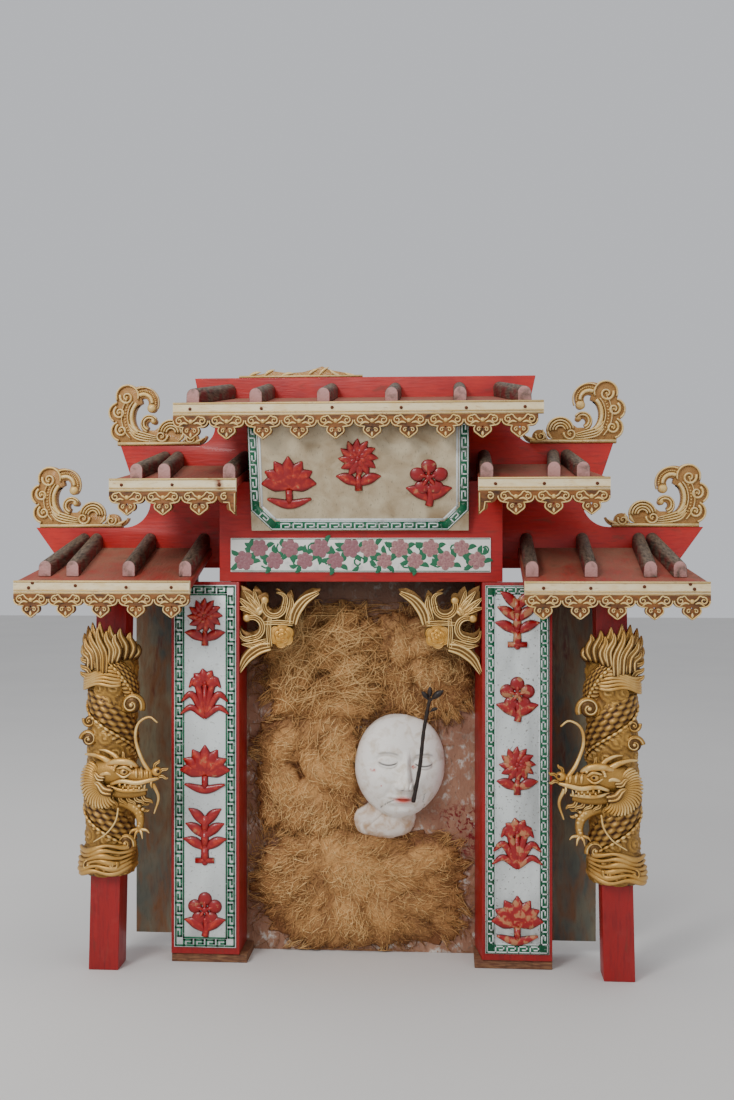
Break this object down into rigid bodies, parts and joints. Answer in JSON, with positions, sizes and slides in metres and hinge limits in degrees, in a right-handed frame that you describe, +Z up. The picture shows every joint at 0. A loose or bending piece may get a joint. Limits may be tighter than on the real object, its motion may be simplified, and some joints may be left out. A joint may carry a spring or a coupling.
{
  "type": "household altar front with stepped roofs and a niche",
  "caption": "Free-standing red altar front: stepped back board, ribbed roofs with gold scalloped fascias, dragon posts, couplet boxes and a fibre-lined niche with a mask.",
  "frame": {"origin": "on the floor under the middle of the altar front's bounding box", "axes": "+X to the viewer's right along the facade, +Y towards the back board, +Z up; the front faces -Y"},
  "size_m": [0.664, 0.1166, 0.5703],
  "materials": {
    "red_paint": "worn red oil paint on wood, grain showing",
    "dusty_roof": "faded red paint under brown dust",
    "weathered_ribs": "dark olive-grey weathered wood with pink painted ends",
    "gold_trim": "pale gold paint, brown in the recesses",
    "gold_carving": "metallic gold paint on a moulded carving",
    "silver_panel": "silvered panel with a green fret border",
    "crimson_relief": "glossy crimson with worn gilt edges",
    "name_ground": "aged beige ground with a green fret border",
    "floral_print": "white band with painted flowers",
    "raw_wood": "rough bare brown wood",
    "niche_plaster": "weathered pinkish paint with grey bare patches",
    "brushed_paint": "dark board with mottled green and ochre brushwork",
    "coir": "golden-brown coconut fibre",
    "white_plaster": "matt white cast plaster",
    "dark_twig": "dark dried twig"
  },
  "bodies": {
    "root": {"back_board": "red_paint", "lintel_box": "red_paint", "name_board": "name_ground", "name_board_ornaments": "crimson_relief", "floral_band": "floral_print", "left_couplet_box": "red_paint", "right_couplet_box": "red_paint", "couplet_feet": "raw_wood", "left_couplet_panel": "silver_panel", "right_couplet_panel": "silver_panel", "left_couplet_ornaments": "crimson_relief", "right_couplet_ornaments": "crimson_relief", "left_post": "red_paint", "right_post": "red_paint", "left_dragon": "gold_carving", "right_dragon": "gold_carving", "left_low_roof": "dusty_roof", "right_low_roof": "dusty_roof", "left_mid_roof": "dusty_roof", "right_mid_roof": "dusty_roof", "top_roof": "dusty_roof", "low_roof_ribs": "weathered_ribs", "mid_roof_ribs": "weathered_ribs", "top_roof_ribs": "weathered_ribs", "left_low_fascia": "gold_trim", "right_low_fascia": "gold_trim", "left_mid_fascia": "gold_trim", "right_mid_fascia": "gold_trim", "top_fascia": "gold_trim", "left_low_finial": "gold_trim", "right_low_finial": "gold_trim", "left_mid_finial": "gold_trim", "right_mid_finial": "gold_trim", "crest_fragment": "gold_trim", "left_corner_bracket": "gold_carving", "right_corner_bracket": "gold_carving", "niche_panel": "niche_plaster", "crown_mat": "coir", "temple_mat": "coir", "shoulder_mat": "coir", "lower_mat": "coir", "mask": "white_plaster", "neck_piece": "white_plaster", "sprig": "dark_twig", "side_boards": "brushed_paint"}
  },
  "joints": []
}
